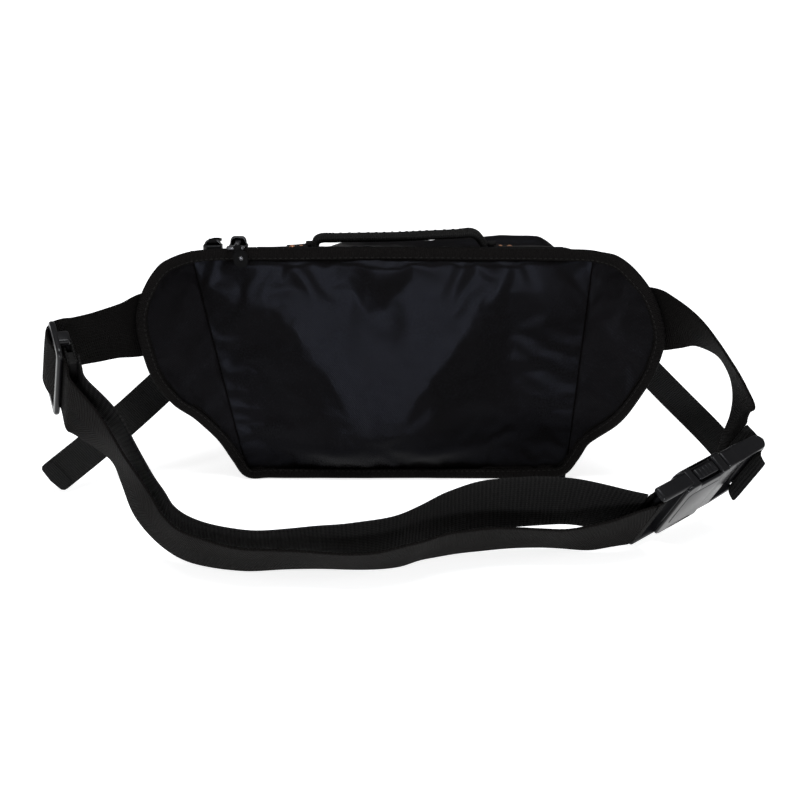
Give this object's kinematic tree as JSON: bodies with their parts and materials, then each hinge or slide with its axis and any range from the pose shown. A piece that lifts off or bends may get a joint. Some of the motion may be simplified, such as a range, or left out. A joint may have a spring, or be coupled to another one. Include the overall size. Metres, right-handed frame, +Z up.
{
  "type": "waist pack",
  "caption": "Waist pack with padded back, side wings, top zip lid and grab handle, front pocket, and a split webbing belt with side release buckle and slide adjuster.",
  "frame": {"origin": "on the surface that the pack stands on, under the middle of the base panel", "axes": "+X along the pack, +Y away from the wearer's body, +Z up"},
  "size_m": [0.4208, 0.2665, 0.1445],
  "materials": {
    "panel_cloth": "closely woven near-black nylon with a soft bluish sheen",
    "body_cloth": "matt near-black nylon",
    "binding_tape": "dull brownish black binding tape",
    "zip_tape": "black woven zip tape",
    "zip_coil": "black nylon coil",
    "belt_webbing": "ribbed charcoal black webbing",
    "narrow_webbing": "fine ribbed black webbing",
    "fitting_plastic": "glossy black acetal",
    "slider_metal": "black lacquered die cast metal",
    "ring_metal": "dark polished metal",
    "pull_plastic": "black moulded pull",
    "rivet_copper": "small copper coloured caps"
  },
  "bodies": {
    "pack": {"base_panel": "panel_cloth", "back_panel": "panel_cloth", "left_wing": "body_cloth", "right_wing": "body_cloth", "back_binding": "binding_tape", "left_gusset": "body_cloth", "right_gusset": "body_cloth", "front_panel": "body_cloth", "front_binding": "binding_tape", "front_pocket": "body_cloth", "pocket_zip": "zip_tape", "top_rear_strip": "body_cloth", "rear_zip_tape": "zip_tape", "rear_coil": "zip_coil", "zip_stop_left": "slider_metal", "zip_stop_right": "slider_metal", "top_end_left": "body_cloth", "top_end_right": "body_cloth", "belt_outer_layer": "belt_webbing", "belt_return_layer": "belt_webbing", "belt_buckle_loop": "belt_webbing", "buckle_female": "fitting_plastic", "belt_right": "belt_webbing", "tail_left": "narrow_webbing", "tail_right": "narrow_webbing", "ladder_lock_left": "fitting_plastic", "ladder_lock_right": "fitting_plastic", "side_strap_left": "narrow_webbing", "side_strap_right": "narrow_webbing", "lock_tab_left": "narrow_webbing", "lock_tab_right": "narrow_webbing"},
    "lid": {"top_lid": "body_cloth", "lid_zip_tape": "zip_tape", "lid_coil": "zip_coil", "handle_anchor_left": "narrow_webbing", "handle_anchor_right": "narrow_webbing", "rivets_left": "rivet_copper", "rivets_right": "rivet_copper"},
    "handle": {"handle": "narrow_webbing"},
    "slider_a": {"slider_a": "slider_metal"},
    "pull_ring_a": {"pull_ring_a": "ring_metal"},
    "pull_tab_a": {"pull_tab_a": "pull_plastic"},
    "slider_b": {"slider_b": "slider_metal"},
    "pull_b": {"pull_b": "pull_plastic"},
    "pocket_slider": {"pocket_slider": "slider_metal"},
    "pocket_pull": {"pocket_pull": "pull_plastic"},
    "adjuster": {"adjuster_frame": "fitting_plastic", "adjuster_loop": "belt_webbing"},
    "buckle_male": {"buckle_male": "fitting_plastic", "male_strap_wrap": "belt_webbing"},
    "latch_near": {"buckle_latch_near": "fitting_plastic"},
    "latch_far": {"buckle_latch_far": "fitting_plastic"}
  },
  "joints": [
    {"name": "lid_fold", "type": "hinge", "parent": "pack", "child": "lid", "pos_m": [0, 0.038, 0.1182], "axis": [-1, 0, 0], "range_deg": [0, 100]},
    {"name": "handle_flop", "type": "hinge", "parent": "lid", "child": "handle", "pos_m": [0, -0.008, 0.137], "axis": [1, 0, 0], "range_deg": [-35, 35]},
    {"name": "slider_a_travel", "type": "slide", "parent": "pack", "child": "slider_a", "axis": [1, 0, 0], "range_m": [0, 0.185]},
    {"name": "ring_a_swing", "type": "hinge", "parent": "slider_a", "child": "pull_ring_a", "pos_m": [-0.094, -0.0283, 0.1429], "axis": [-1, 0, 0], "range_deg": [0, 110]},
    {"name": "tab_a_swing", "type": "hinge", "parent": "pull_ring_a", "child": "pull_tab_a", "pos_m": [-0.094, -0.0476, 0.1429], "axis": [-1, 0, 0], "range_deg": [0, 90]},
    {"name": "slider_b_travel", "type": "slide", "parent": "pack", "child": "slider_b", "axis": [1, 0, 0], "range_m": [-0.001, 0.003]},
    {"name": "pull_b_lift", "type": "hinge", "parent": "slider_b", "child": "pull_b", "pos_m": [-0.109, -0.0283, 0.1429], "axis": [1, 0, 0], "range_deg": [0, 100]},
    {"name": "pocket_slider_travel", "type": "slide", "parent": "pack", "child": "pocket_slider", "axis": [1, 0, 0], "range_m": [0, 0.1]},
    {"name": "pocket_pull_swing", "type": "hinge", "parent": "pocket_slider", "child": "pocket_pull", "pos_m": [-0.05, 0.058, 0.082], "axis": [1, 0, 0], "range_deg": [0, 110]},
    {"name": "adjuster_travel", "type": "slide", "parent": "pack", "child": "adjuster", "axis": [0.318, -0.7949, -0.5167], "range_m": [0, 0.004]},
    {"name": "buckle_release", "type": "slide", "parent": "pack", "child": "buckle_male", "axis": [0.7701, 0.6201, 0.15], "range_m": [0, 0.03], "deforming": ["buckle_latch_near", "buckle_latch_far"]},
    {"name": "latch_near_squeeze", "type": "hinge", "parent": "buckle_male", "child": "latch_near", "pos_m": [0.1648, -0.11692, 0.02024], "axis": [-0.5709, 0.5649, 0.5957], "range_deg": [0, 9], "stiffness_Nm_per_rad": 0.4},
    {"name": "latch_far_squeeze", "type": "hinge", "parent": "buckle_male", "child": "latch_far", "pos_m": [0.1722, -0.13107, 0.04076], "axis": [0.5709, -0.5649, -0.5957], "range_deg": [0, 9], "stiffness_Nm_per_rad": 0.4}
  ]
}
